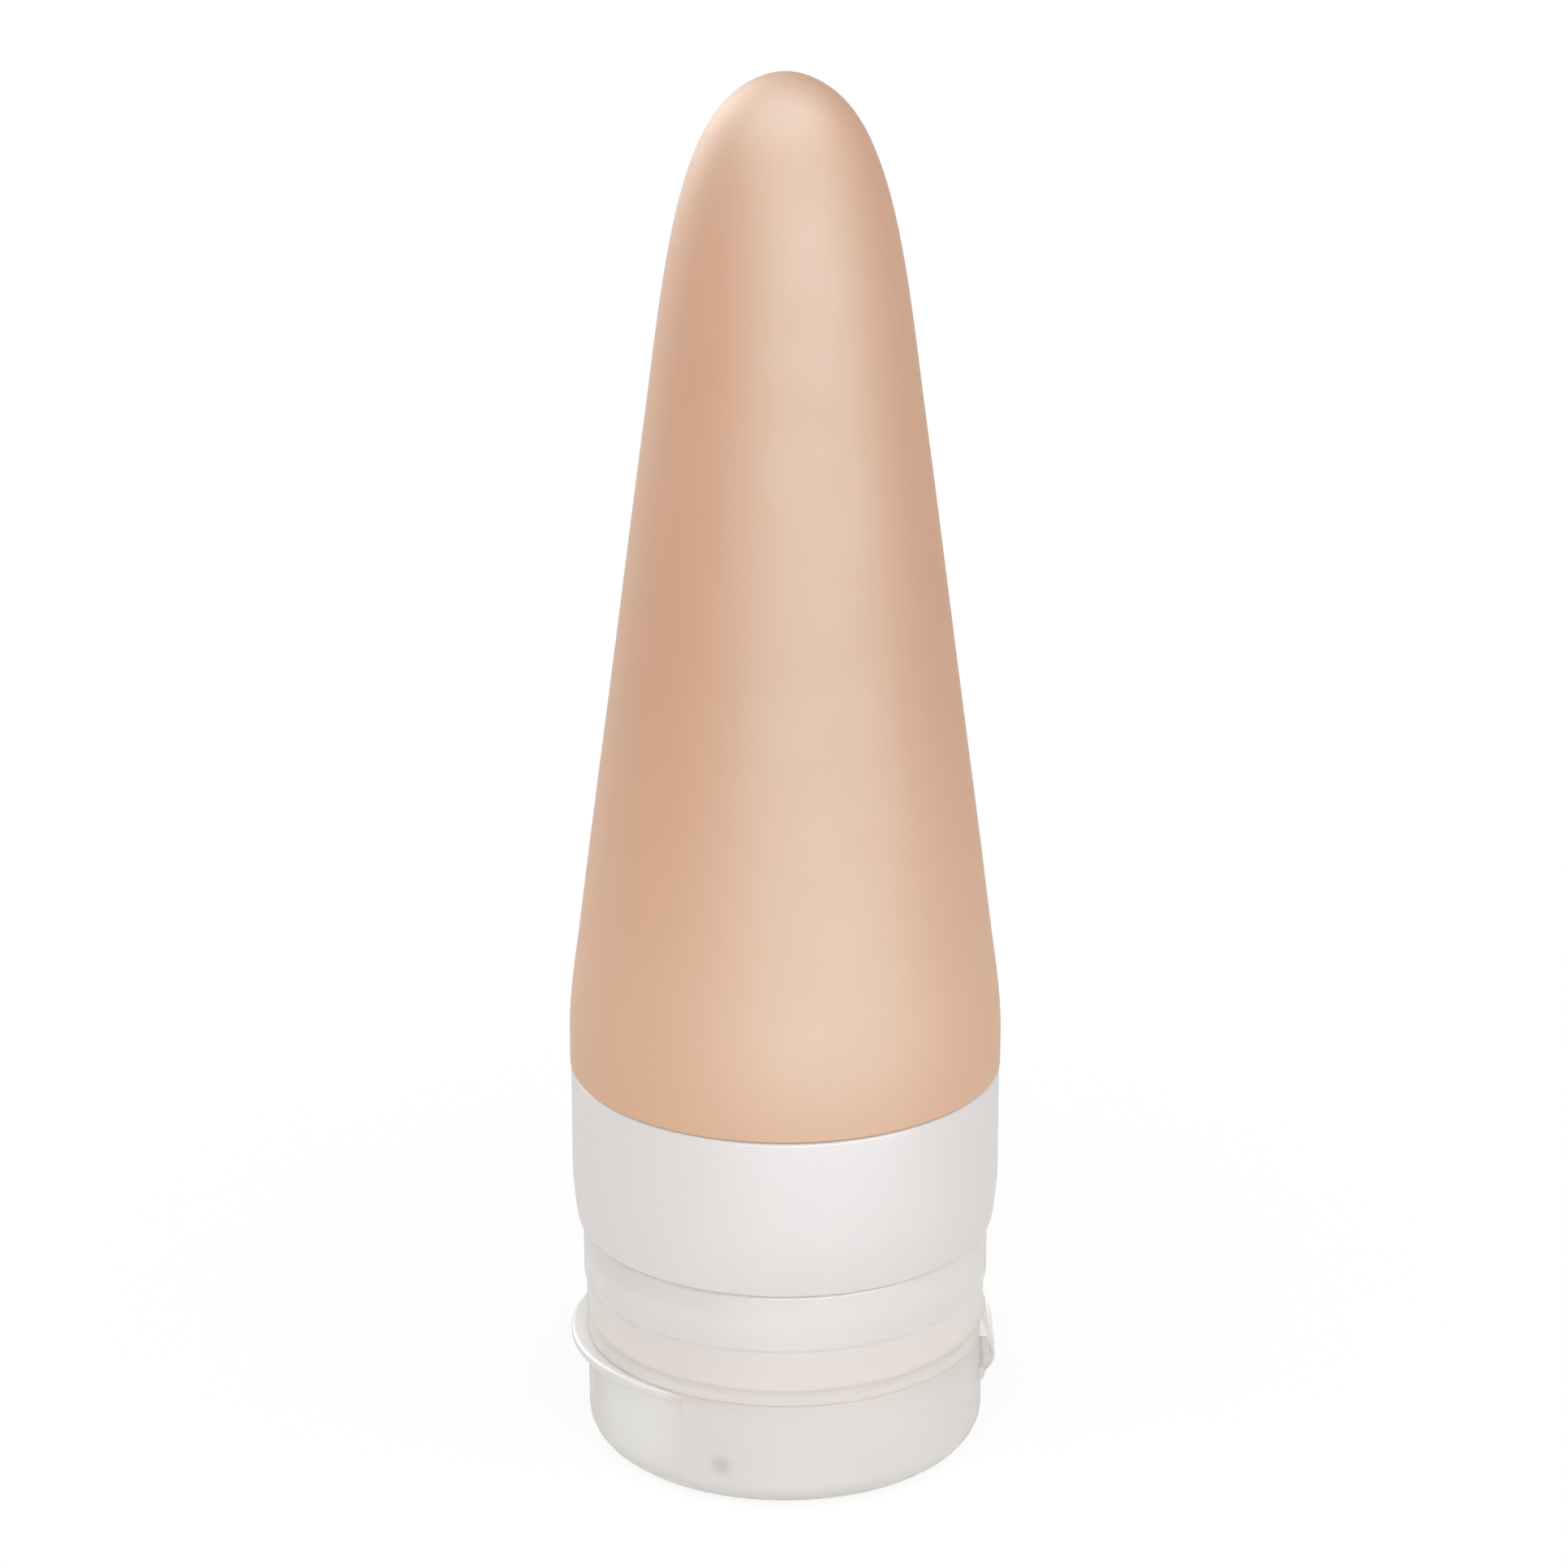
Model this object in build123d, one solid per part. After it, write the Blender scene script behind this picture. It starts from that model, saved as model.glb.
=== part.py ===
from build123d import *
import os

os.makedirs("parts", exist_ok=True)

# A soft silicone travel bottle that stands upside down on its closed flip cap.
# Lengths are in millimetres. The origin is the middle of the lid's resting face and +Z runs up the bottle to
# its closed tip. The lid's thumb lip points along -X and its hinge lies at +X.

# Cap: the flip lid, the screw-on base above it, and the hinge between them.
skirt_radius = 21.6
skirt_wall = 1.3
skirt_height = 12.95
band_reach = 0.3
band_height = 6.7
band_edge_radius = 0.9
deck_thickness = 1.4
parting_gap = 0.2
lid_height = 12.15
lid_inset = 0.1
lid_wall = 1.3
lid_floor = 1.4
lid_edge_radius = 3.1
thumb_lip_reach = 1.9
thumb_lip_tuck = 1.5
thumb_lip_thickness = 1.1
spigot_height = 1.5
spigot_wall = 1.2
spigot_clearance = 0.2

# Nozzle: a short cup under the deck that holds the valve over the orifice, and the lid's plug below it.
nozzle_radius = 8.2
nozzle_wall = 1.2
nozzle_drop = 5.3
nozzle_floor = 1.2
nozzle_lead = 0.6
orifice_radius = 4.0
plug_clearance = 0.4
plug_entry = 0.9
plug_wall = 1.0
plug_lead = 0.3

# Valve and the ring that clamps it.
valve_fit = 0.1
valve_flange_thickness = 1.0
valve_web_thickness = 0.8
valve_dome_radius = 3.8
valve_dome_height = 1.2
valve_slit_width = 0.12
valve_slit_length = 4.4
valve_slit_angle = 90
retainer_wall = 1.9
retainer_height = 2.4

# Hinge: a block on the cap, a pad on the lid, and the thin film that bows out between them.
hinge_offset = 1.0
hinge_width = 9.0
film_width = 8.0
block_setback = 0.45
block_height = 2.85
block_edge_radius = 0.4
lid_pad_reach = 0.25
lid_pad_height = 1.4
film_thickness = 0.4
film_bow = 0.15
film_drop = 4.3
film_crest_share = 0.42

# Collar: the outer shell, its foot, and the sleeve that carries the thread.
collar_radius = 23.0
collar_height = 17.8
collar_wall = 1.6
collar_top_radius = 0.5
collar_foot_gap = 0.2
collar_foot_tuck = 0.6
collar_foot_curve = 6.0
collar_foot_edge_radius = 0.6
collar_floor = 1.6
thread_room = 1.0
sleeve_wall = 1.7

# Silicone: the squeeze body, its neck and mouth lip, and the gasket in the cap.
tube_height = 107.4
tube_wall = 2.0
tube_fit = 0.1
base_swell = 0.1
base_edge_radius = 0.8
lip_thickness = 2.2
lip_inset = 0.1
shoulder_chamfer = 1.2
gasket_thickness = 1.5
gasket_clearance = 0.4
seat_gap = 0.1
seal_ring_clearance = 0.3
seal_ring_wall = 1.2
seal_ring_entry = 1.5
seal_ring_lead = 0.4

# The body's outline above the collar, as shares of its base radius and of tube_height.
band_height_share = 0.033
body_radius_shares = (0.941, 0.782, 0.627, 0.514, 0.393, 0.232)
body_height_shares = (0.155, 0.415, 0.667, 0.834, 0.927, 0.979)

# Heights of the faces that the pieces share, from the ground up.
cap_underside = lid_height + parting_gap
deck_top = cap_underside + deck_thickness
skirt_top = cap_underside + skirt_height
gasket_underside = deck_top + seat_gap
gasket_top = gasket_underside + gasket_thickness
mouth_height = gasket_top + seat_gap
lip_top = mouth_height + lip_thickness
sleeve_end = lip_top + tube_fit
collar_foot = skirt_top + collar_foot_gap
collar_floor_top = collar_foot + collar_floor
collar_top = collar_foot + collar_height
tube_ledge = collar_top + tube_fit
nozzle_tip = cap_underside - nozzle_drop
valve_seat = nozzle_tip + nozzle_floor
retainer_underside = valve_seat + valve_flange_thickness + valve_fit

# Radii that follow from the walls and clearances between the pieces.
skirt_bore = skirt_radius - skirt_wall
lid_radius = skirt_radius - lid_inset
lid_bore = lid_radius - lid_wall
sleeve_radius = skirt_bore - thread_room
sleeve_bore = sleeve_radius - sleeve_wall
neck_radius = sleeve_bore - tube_fit
mouth_radius = neck_radius - tube_wall
gasket_radius = skirt_bore - gasket_clearance
nozzle_bore = nozzle_radius - nozzle_wall
plug_radius = orifice_radius - plug_clearance
collar_bore = collar_radius - collar_wall
tube_base_radius = collar_radius + base_swell
lid_pad_face = lid_radius + lid_pad_reach
film_root = lid_height - film_drop

# The lid turns about a line along Y at this place, just outside the block's face.
hinge_x = skirt_radius + hinge_offset
hinge_z = lid_height + parting_gap / 2
block_face = hinge_x - block_setback


def turned(outline):
    """Turns a closed half-section of (radius, height, corner radius) points round the Z axis."""
    points = [(radius, height) for radius, height, _ in outline]
    corners = [corner for _, _, corner in outline]
    section = make_face(FilletPolyline(*points, radius=corners, close=True))
    return revolve(Plane.XZ * section, Axis.Z)


def body_curve(base_radius, height):
    """The silicone's outline: one smooth curve from the straight band above the collar to the closed tip."""
    shares = zip(body_radius_shares, body_height_shares)
    flank = [(base_radius * radius, tube_ledge + height * rise) for radius, rise in shares]
    start = (base_radius, tube_ledge + height * band_height_share)
    return Spline(start, *flank, (0, tube_ledge + height), tangents=[(0, 1), (-1, 0)])


def inside(curve, wall):
    """The curve moved inwards by a wall along its normals, at a station for each point of the outline."""
    last = len(body_height_shares) + 1
    moved = []
    for station in range(last + 1):
        along = curve % (station / last)
        moved.append(curve @ (station / last) + Vector(-along.Y, along.X) * wall)
    return Spline(*moved, tangents=[(0, 1), (-1, 0)])


def make_silicone_tube():
    """The squeeze body, hollow to its mouth, with its neck and the lip that folds over the sleeve's end."""
    outer_curve = body_curve(tube_base_radius, tube_height)
    inner_curve = inside(outer_curve, tube_wall)
    shoulder = collar_floor_top + tube_fit
    held_radius = collar_bore - tube_fit
    held_bore = held_radius - tube_wall
    lip_radius = sleeve_radius - lip_inset
    outside = FilletPolyline(
        (mouth_radius, mouth_height),
        (lip_radius, mouth_height),
        (lip_radius, lip_top),
        (neck_radius, lip_top),
        (neck_radius, shoulder),
        (held_radius - shoulder_chamfer, shoulder),
        (held_radius, shoulder + shoulder_chamfer),
        (held_radius, tube_ledge),
        (tube_base_radius, tube_ledge),
        outer_curve @ 0,
        radius=(0, 0, 0, 0, 0, 0, 0, base_edge_radius),
    )
    bore = Polyline(
        inner_curve @ 0,
        (held_bore, tube_ledge),
        (held_bore, shoulder + tube_wall + shoulder_chamfer),
        (held_bore - shoulder_chamfer, shoulder + tube_wall),
        (mouth_radius, shoulder + tube_wall),
        (mouth_radius, mouth_height),
    )
    tip = Line(outer_curve @ 1, inner_curve @ 1)
    section = make_face([*outside.edges(), outer_curve, tip, inner_curve, *bore.edges()])
    return revolve(Plane.XZ * section, Axis.Z)


def make_collar():
    """The white ring: a shell round the silicone, a floor above the cap, and the sleeve round the neck."""
    foot_radius = collar_radius - collar_foot_tuck
    curve_top = collar_foot + collar_foot_curve
    foot_curve = Bezier(
        (foot_radius, collar_foot),
        (collar_radius - collar_foot_tuck / 2, collar_foot + collar_foot_curve / 4),
        (collar_radius, collar_foot + collar_foot_curve / 2),
        (collar_radius, curve_top),
    )
    rest = FilletPolyline(
        (collar_radius, curve_top),
        (collar_radius, collar_top),
        (collar_bore, collar_top),
        (collar_bore, collar_floor_top),
        (sleeve_bore, collar_floor_top),
        (sleeve_bore, sleeve_end),
        (sleeve_radius, sleeve_end),
        (sleeve_radius, collar_foot),
        (foot_radius, collar_foot),
        radius=(collar_top_radius, 0, 0, 0, 0, 0, 0),
    )
    section = make_face([foot_curve, *rest.edges()])
    foot_corner = section.vertices().group_by(Axis.Y)[1].sort_by(Axis.X)[-1]
    section = fillet(foot_corner, collar_foot_edge_radius)
    return revolve(Plane.XZ * section, Axis.Z)


def make_mouth_gasket():
    """The flat ring that the mouth lip presses on the cap's deck."""
    return turned(
        [
            (mouth_radius, gasket_underside, 0),
            (gasket_radius, gasket_underside, 0),
            (gasket_radius, gasket_top, 0),
            (mouth_radius, gasket_top, 0),
        ]
    )


def hinge_land(foot, top, face, wall_middle):
    """A flat-faced land on the hinge side that starts inside a round wall."""
    middle = (foot + top) / 2
    land = Pos(face / 2, 0, middle) * Box(face, hinge_width, top - foot)
    land = chamfer(land.edges().filter_by(Axis.Z).group_by(Axis.X)[-1], face - wall_middle)
    return land - Pos(0, 0, middle) * Cylinder(wall_middle, top)


def make_cap_base():
    """The screw cap: skirt with its thicker open end, deck, seal ring, lid spigot and nozzle cup."""
    band_radius = skirt_radius + band_reach
    band_foot = skirt_top - band_height
    ring_radius = mouth_radius - seal_ring_clearance
    ring_bore = ring_radius - seal_ring_wall
    ring_top = mouth_height + seal_ring_entry
    spigot_radius = lid_bore - spigot_clearance
    spigot_bore = spigot_radius - spigot_wall
    spigot_foot = cap_underside - spigot_height
    shell = turned(
        [
            (skirt_radius, cap_underside, 0),
            (skirt_radius, band_foot, 0),
            (band_radius, band_foot + band_reach, 0),
            (band_radius, skirt_top, band_edge_radius),
            (skirt_bore, skirt_top, 0),
            (skirt_bore, deck_top, 0),
            (ring_radius, deck_top, 0),
            (ring_radius, ring_top - seal_ring_lead, 0),
            (ring_radius - seal_ring_lead, ring_top, 0),
            (ring_bore, ring_top, 0),
            (ring_bore, deck_top, 0),
            (nozzle_bore, deck_top, 0),
            (nozzle_bore, valve_seat, 0),
            (orifice_radius, valve_seat, 0),
            (orifice_radius, nozzle_tip, 0),
            (nozzle_radius - nozzle_lead, nozzle_tip, 0),
            (nozzle_radius, nozzle_tip + nozzle_lead, 0),
            (nozzle_radius, cap_underside, 0),
            (spigot_bore, cap_underside, 0),
            (spigot_bore, spigot_foot, 0),
            (spigot_radius - spigot_clearance, spigot_foot, 0),
            (spigot_radius, cap_underside, 0),
        ]
    )
    block_top = cap_underside + block_height
    block = hinge_land(cap_underside, block_top, block_face, skirt_radius - skirt_wall / 2)
    block = fillet(block.edges().group_by(Axis.Z)[-1].group_by(Axis.X)[-1], block_edge_radius)
    return shell + block


def make_no_drip_valve():
    """A silicone disc whose domed middle is cut by a cross slit."""
    flange_radius = nozzle_bore - valve_fit
    flange_top = valve_seat + valve_flange_thickness
    dome_top = flange_top + valve_dome_height
    under = TangentArc((0, dome_top - valve_web_thickness), (valve_dome_radius, valve_seat), tangent=(1, 0))
    flange = Polyline(
        (valve_dome_radius, valve_seat),
        (flange_radius, valve_seat),
        (flange_radius, flange_top),
        (valve_dome_radius + valve_web_thickness, flange_top),
    )
    over = TangentArc((0, dome_top), (valve_dome_radius + valve_web_thickness, flange_top), tangent=(1, 0))
    middle = Line((0, dome_top), (0, dome_top - valve_web_thickness))
    valve = revolve(Plane.XZ * make_face([under, *flange.edges(), over, middle]), Axis.Z)
    slit = Pos(0, 0, dome_top) * Box(valve_slit_length, valve_slit_width, valve_dome_radius)
    return valve - slit - Rot(0, 0, valve_slit_angle) * slit


def make_valve_retainer():
    """The ring pressed into the nozzle cup above the valve's flange."""
    ring_radius = nozzle_bore - valve_fit
    ring_top = retainer_underside + retainer_height
    return turned(
        [
            (ring_radius - retainer_wall, retainer_underside, 0),
            (ring_radius, retainer_underside, 0),
            (ring_radius, ring_top, 0),
            (ring_radius - retainer_wall, ring_top, 0),
        ]
    )


def make_flip_lid():
    """The lid: a shallow cup with a rounded foot, a crescent thumb lip and the plug for the orifice."""
    plug_bore = plug_radius - plug_wall
    plug_top = nozzle_tip + plug_entry
    inner_edge_radius = lid_edge_radius - lid_wall
    cup = turned(
        [
            (0, 0, 0),
            (lid_radius, 0, lid_edge_radius),
            (lid_radius, lid_height, 0),
            (lid_bore, lid_height, 0),
            (lid_bore, lid_floor, inner_edge_radius),
            (plug_radius, lid_floor, 0),
            (plug_radius, plug_top - plug_lead, 0),
            (plug_radius - plug_lead, plug_top, 0),
            (plug_bore, plug_top, 0),
            (plug_bore, lid_floor, 0),
            (0, lid_floor, 0),
        ]
    )
    lip_radius = lid_radius - thumb_lip_tuck
    lip_centre = lip_radius - lid_radius - thumb_lip_reach
    lip_middle = lid_height - thumb_lip_thickness / 2
    lip = Pos(lip_centre, 0, lip_middle) * Cylinder(lip_radius, thumb_lip_thickness)
    lip = fillet(lip.edges().filter_by(GeomType.CIRCLE), thumb_lip_thickness / 3)
    lip -= Pos(0, 0, lip_middle) * Cylinder(lid_radius - lid_wall / 2, lid_height)
    pad_foot = film_root - lid_pad_height / 2
    pad = hinge_land(pad_foot, pad_foot + lid_pad_height, lid_pad_face, lid_radius - lid_wall / 2)
    return cup + lip + pad


def make_living_hinge():
    """The film from under the cap's block to the lid's pad, fullest below its middle."""
    crest = film_root + film_drop * film_crest_share
    crest_face = hinge_x + film_bow
    outer = Spline((block_face, cap_underside), (crest_face, crest), (lid_pad_face, film_root))
    inner = Spline(
        (lid_pad_face, film_root + film_thickness),
        (crest_face - film_thickness, crest),
        (block_face - film_thickness, cap_underside),
    )
    ends = [Line(outer @ 1, inner @ 0), Line(inner @ 1, outer @ 0)]
    section = make_face([outer, ends[0], inner, ends[1]])
    return Pos(0, film_width / 2, 0) * extrude(Plane.XZ * section, amount=film_width)


makers = {
    "silicone_tube": make_silicone_tube,
    "collar": make_collar,
    "mouth_gasket": make_mouth_gasket,
    "cap_base": make_cap_base,
    "no_drip_valve": make_no_drip_valve,
    "valve_retainer": make_valve_retainer,
    "flip_lid": make_flip_lid,
    "living_hinge": make_living_hinge,
}

for name, make in makers.items():
    piece = make()
    piece.label = name
    export_step(piece, f"parts/{name}.step")
    print(name, round(piece.volume), "mm3", piece.bounding_box().size)

print("the lid turns about", (hinge_x, hinge_z))
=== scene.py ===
import math

import bmesh
import bpy
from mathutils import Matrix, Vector
from mathutils.geometry import interpolate_bezier


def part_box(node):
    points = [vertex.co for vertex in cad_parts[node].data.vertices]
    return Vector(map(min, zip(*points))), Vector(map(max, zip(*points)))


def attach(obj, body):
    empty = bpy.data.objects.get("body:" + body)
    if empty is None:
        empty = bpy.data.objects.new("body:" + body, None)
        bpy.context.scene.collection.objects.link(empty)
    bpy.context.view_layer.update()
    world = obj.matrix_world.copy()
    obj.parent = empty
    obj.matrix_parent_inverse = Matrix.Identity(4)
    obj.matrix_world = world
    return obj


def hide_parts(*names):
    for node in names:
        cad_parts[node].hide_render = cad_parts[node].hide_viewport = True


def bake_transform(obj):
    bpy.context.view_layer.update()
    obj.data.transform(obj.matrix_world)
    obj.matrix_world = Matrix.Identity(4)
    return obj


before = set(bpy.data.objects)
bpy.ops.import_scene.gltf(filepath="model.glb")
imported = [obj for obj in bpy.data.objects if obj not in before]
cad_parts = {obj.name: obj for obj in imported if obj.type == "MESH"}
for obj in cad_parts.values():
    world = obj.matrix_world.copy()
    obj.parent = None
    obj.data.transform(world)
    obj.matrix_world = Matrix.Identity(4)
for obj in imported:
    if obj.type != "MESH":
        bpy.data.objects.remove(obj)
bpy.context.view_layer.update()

# A soft silicone travel bottle that stands upside down on its closed flip cap.
# All lengths are in metres, so sizes of pieces are written as millimetres times mm.
mm = 0.001

# Places and sizes that the fixed model gives.
tube_low, tube_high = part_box("silicone_tube")
collar_low, collar_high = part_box("collar")
washer_low, washer_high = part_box("mouth_gasket")
cap_low, cap_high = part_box("cap_base")
valve_low, valve_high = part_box("no_drip_valve")
ring_low, ring_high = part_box("valve_retainer")
lid_low, lid_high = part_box("flip_lid")
film_low, film_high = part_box("living_hinge")

# Walls and clearances, as on the fixed model.
fit = 0.1 * mm
parting_gap = 0.2 * mm
collar_foot_gap = 0.2 * mm
band_reach = 0.3 * mm
skirt_wall = 1.3 * mm
thread_room = 1.0 * mm
sleeve_wall = 1.7 * mm
tube_wall = 2.0 * mm
collar_wall = 1.6 * mm
lid_wall = 1.3 * mm
cap_floor = 1.4 * mm
orifice_radius = 4.0 * mm

# Round pieces are turned in this many steps, and a rounded corner has this many.
turn_steps = 192
corner_steps = 6

# Vertices this close are one, and what is thinner than a sliver is left over from a cut.
weld_distance = 0.0005 * mm
sliver_width = 0.003 * mm

# Heights and radii that several pieces share.
skirt_radius = cap_high.y - band_reach
skirt_bore = skirt_radius - skirt_wall
cap_underside = lid_high.z + parting_gap
deck_top = cap_underside + cap_floor
sleeve_radius = skirt_bore - thread_room
sleeve_bore = sleeve_radius - sleeve_wall
neck_radius = sleeve_bore - fit
mouth_radius = neck_radius - tube_wall
collar_foot = cap_high.z + collar_foot_gap
collar_floor_top = collar_foot + collar_wall
collar_bore = collar_high.y - collar_wall
tube_ledge = collar_high.z + fit
lid_radius = lid_high.y
lid_bore = lid_radius - lid_wall


def select(piece, test):
    """Selects the vertices of the piece in hand whose place passes the test, and nothing else."""
    bpy.ops.mesh.select_all(action="DESELECT")
    mesh = bmesh.from_edit_mesh(piece.data)
    for vertex in mesh.verts:
        vertex.select_set(test(vertex.co))
    mesh.select_flush(True)
    bmesh.update_edit_mesh(piece.data)


def weld(piece):
    """Merges the vertices that lie on each other and turns all faces outwards."""
    bpy.ops.mesh.select_all(action="SELECT")
    bpy.ops.mesh.remove_doubles(threshold=weld_distance)
    bpy.ops.mesh.normals_make_consistent(inside=False)


def put_down(piece, sharp_angle=35):
    """Leaves edit mode, puts the piece's place into its mesh and shades it smooth but for its sharp edges."""
    bpy.ops.object.mode_set(mode="OBJECT")
    bpy.ops.object.transform_apply()
    bpy.ops.object.shade_smooth_by_angle(angle=math.radians(sharp_angle))
    return piece


def draw(name, corners):
    """Draws a line in the XZ plane through (x, z, rounding) corners.

    A rounding is how far a corner is cut back.
    """
    x, z, _ = corners[0]
    bpy.ops.object.select_all(action="DESELECT")
    bpy.ops.mesh.primitive_plane_add(size=mm)
    piece = bpy.context.object
    piece.name = name
    bpy.ops.object.mode_set(mode="EDIT")
    bpy.ops.mesh.merge(type="CENTER")
    bpy.ops.transform.translate(value=(x, 0, z))
    for start, end in zip(corners, corners[1:]):
        step = (end[0] - start[0], 0, end[1] - start[1])
        bpy.ops.mesh.extrude_region_move(TRANSFORM_OT_translate={"value": step})
    bpy.ops.mesh.select_all(action="SELECT")
    bpy.ops.mesh.remove_doubles(threshold=weld_distance)
    for x, z, rounding in corners:
        if rounding:
            corner = Vector((x, 0, z))
            select(piece, lambda place: (place - corner).length < weld_distance)
            bpy.ops.mesh.bevel(offset=rounding, segments=corner_steps, affect="VERTICES")
    return piece


def turn(name, corners):
    """Turns a drawn outline round the Z axis. An outline that ends off the axis is closed first."""
    if corners[0][0] > 0:
        corners = [*corners, (corners[0][0], corners[0][1], 0)]
    piece = draw(name, corners)
    bpy.ops.mesh.select_all(action="SELECT")
    bpy.ops.mesh.spin(steps=turn_steps, angle=2 * math.pi, center=(0, 0, 0), axis=(0, 0, 1))
    weld(piece)
    return put_down(piece)


def add_block(size, centre):
    """A plain block, to join or to cut with."""
    bpy.ops.object.select_all(action="DESELECT")
    bpy.ops.mesh.primitive_cube_add(size=1, location=centre, scale=size)
    bpy.ops.object.transform_apply()
    return bpy.context.object


def add_cylinder(radius, height, middle):
    """A plain cylinder round the Z axis, to cut with."""
    bpy.ops.object.select_all(action="DESELECT")
    bpy.ops.mesh.primitive_cylinder_add(
        vertices=turn_steps, radius=radius, depth=height, location=(0, 0, middle)
    )
    return bpy.context.object


def shift(piece, way):
    """Moves a piece's mesh and leaves its origin in place."""
    bpy.context.view_layer.objects.active = piece
    bpy.ops.object.mode_set(mode="EDIT")
    bpy.ops.mesh.select_all(action="SELECT")
    bpy.ops.transform.translate(value=way)
    bpy.ops.object.mode_set(mode="OBJECT")


def finish_with(piece, kind, **settings):
    """Adds a modifier, sets it up and applies it."""
    bpy.ops.object.select_all(action="DESELECT")
    piece.select_set(True)
    bpy.context.view_layer.objects.active = piece
    modifier = piece.modifiers.new(kind.lower(), kind)
    for setting, value in settings.items():
        setattr(modifier, setting, value)
    bpy.ops.object.modifier_apply(modifier=modifier.name)


def combine(piece, other, operation):
    """Joins another solid to a piece, or cuts it out of the piece, and removes it."""
    finish_with(piece, "BOOLEAN", operation=operation, solver="EXACT", object=other)
    bpy.data.objects.remove(other)


def clean_up(piece):
    """Takes out the slivers that joining and cutting leave, and puts the piece down."""
    bpy.ops.object.mode_set(mode="EDIT")
    bpy.ops.mesh.select_all(action="SELECT")
    bpy.ops.mesh.dissolve_degenerate(threshold=sliver_width)
    bpy.ops.mesh.remove_doubles(threshold=sliver_width)
    weld(piece)
    return put_down(piece)


def smooth_run(points, first_way, last_way, steps):
    """One smooth line through the points, that starts and ends in the given ways."""
    places = [Vector((x, 0, z)) for x, z in points]
    ways = [Vector((x, 0, z)) for x, z in (first_way, last_way)]
    ways[1:1] = [after - before for before, after in zip(places, places[2:])]
    line = []
    for index, (start, end) in enumerate(zip(places, places[1:])):
        reach = (end - start).length / 3
        first = start + ways[index].normalized() * reach
        second = end - ways[index + 1].normalized() * reach
        line += interpolate_bezier(start, first, second, end, steps)[:-1]
    return [*line, places[-1]]


def inner_run(line, wall):
    """The same line moved inwards by a wall."""
    moved = []
    for index, place in enumerate(line):
        way = line[min(index + 1, len(line) - 1)] - line[max(index - 1, 0)]
        moved.append(place + Vector((-way.z, 0, way.x)).normalized() * wall)
    return moved


# The squeeze body's outline above the collar, as shares of its base radius and height.
body_band_share = 0.033
body_radius_shares = (0.941, 0.782, 0.627, 0.514, 0.393, 0.232)
body_height_shares = (0.155, 0.415, 0.667, 0.834, 0.927, 0.979)
body_steps = 9


def make_squeeze_body():
    """The silicone bottle: pointed body, straight foot held in the collar, neck and folded mouth lip."""
    shoulder = collar_floor_top + fit
    shoulder_cut = 1.2 * mm
    held_radius = collar_bore - fit
    held_bore = held_radius - tube_wall
    lip_radius = sleeve_radius - fit
    lip_top = collar_low.z - fit
    lip_rounding = 0.5 * mm
    foot_rounding = 0.1 * mm
    height = tube_high.z - tube_ledge
    shares = zip((1, *body_radius_shares, 0), (body_band_share, *body_height_shares, 1))
    points = [(tube_high.y * radius, tube_ledge + height * rise) for radius, rise in shares]
    outer = smooth_run(points, (0, 1), (-1, 0), body_steps)
    inner = inner_run(outer, tube_wall)
    inner[-1].x = 0
    corners = [(place.x, place.z, 0) for place in reversed(inner)]
    corners += [
        (held_bore, tube_ledge, 0),
        (held_bore, shoulder + tube_wall + shoulder_cut, 0),
        (held_bore - shoulder_cut, shoulder + tube_wall, 0),
        (mouth_radius, shoulder + tube_wall, lip_rounding),
        (mouth_radius, tube_low.z, lip_rounding),
        (lip_radius, tube_low.z, lip_rounding),
        (lip_radius, lip_top, lip_rounding),
        (neck_radius, lip_top, 0),
        (neck_radius, shoulder, 0),
        (held_radius - shoulder_cut, shoulder, 0),
        (held_radius, shoulder + shoulder_cut, 0),
        (held_radius, tube_ledge, 0),
        (tube_high.y, tube_ledge, foot_rounding),
    ]
    corners += [(place.x, place.z, 0) for place in outer]
    return turn("squeeze_body", corners)


def make_collar_ring():
    """The white shell round the bottle's foot, with its tucked-in lower edge, floor and inner sleeve."""
    foot_tuck = 0.6 * mm
    foot_curve = 6.0 * mm
    foot_way, tuck_share = (1, 4), 0.7
    foot_rounding = 0.12 * mm
    top_rounding = 0.5 * mm
    small_rounding = 0.25 * mm
    foot_radius = collar_high.y - foot_tuck
    foot_line = [
        (foot_radius, collar_foot),
        (foot_radius + tuck_share * foot_tuck, collar_foot + foot_curve / 2),
        (collar_high.y, collar_foot + foot_curve),
    ]
    tucked = smooth_run(foot_line, foot_way, (0, 1), corner_steps)
    corners = [
        (sleeve_radius, collar_foot, 0),
        (foot_radius, collar_foot, foot_rounding),
        *[(place.x, place.z, 0) for place in tucked[2:]],
        (collar_high.y, collar_high.z, top_rounding),
        (collar_bore, collar_high.z, small_rounding),
        (collar_bore, collar_floor_top, 0),
        (sleeve_bore, collar_floor_top, small_rounding),
        (sleeve_bore, collar_low.z, small_rounding),
        (sleeve_radius, collar_low.z, small_rounding),
    ]
    return turn("collar_ring", corners)


def make_mouth_washer():
    """The flat silicone ring under the mouth lip."""
    edge = 0.3 * mm
    bore = mouth_radius
    corners = [
        (bore, washer_low.z, edge),
        (washer_high.y, washer_low.z, edge),
        (washer_high.y, washer_high.z, edge),
        (bore, washer_high.z, edge),
    ]
    return turn("mouth_washer", corners)


# Threads: the rise in one turn, the ridge's width at its foot and crest, and its height above the wall.
# Its foot is sunk in the wall. Over its last steps the ridge shrinks to a share of its size.
thread_lead = 4.0 * mm
thread_foot = 1.7 * mm
thread_crest = 0.8 * mm
thread_reach = 0.7 * mm
thread_sink = 0.1 * mm
steps_in_a_turn = 72
run_out_steps = 9
end_size = 0.3


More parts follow.
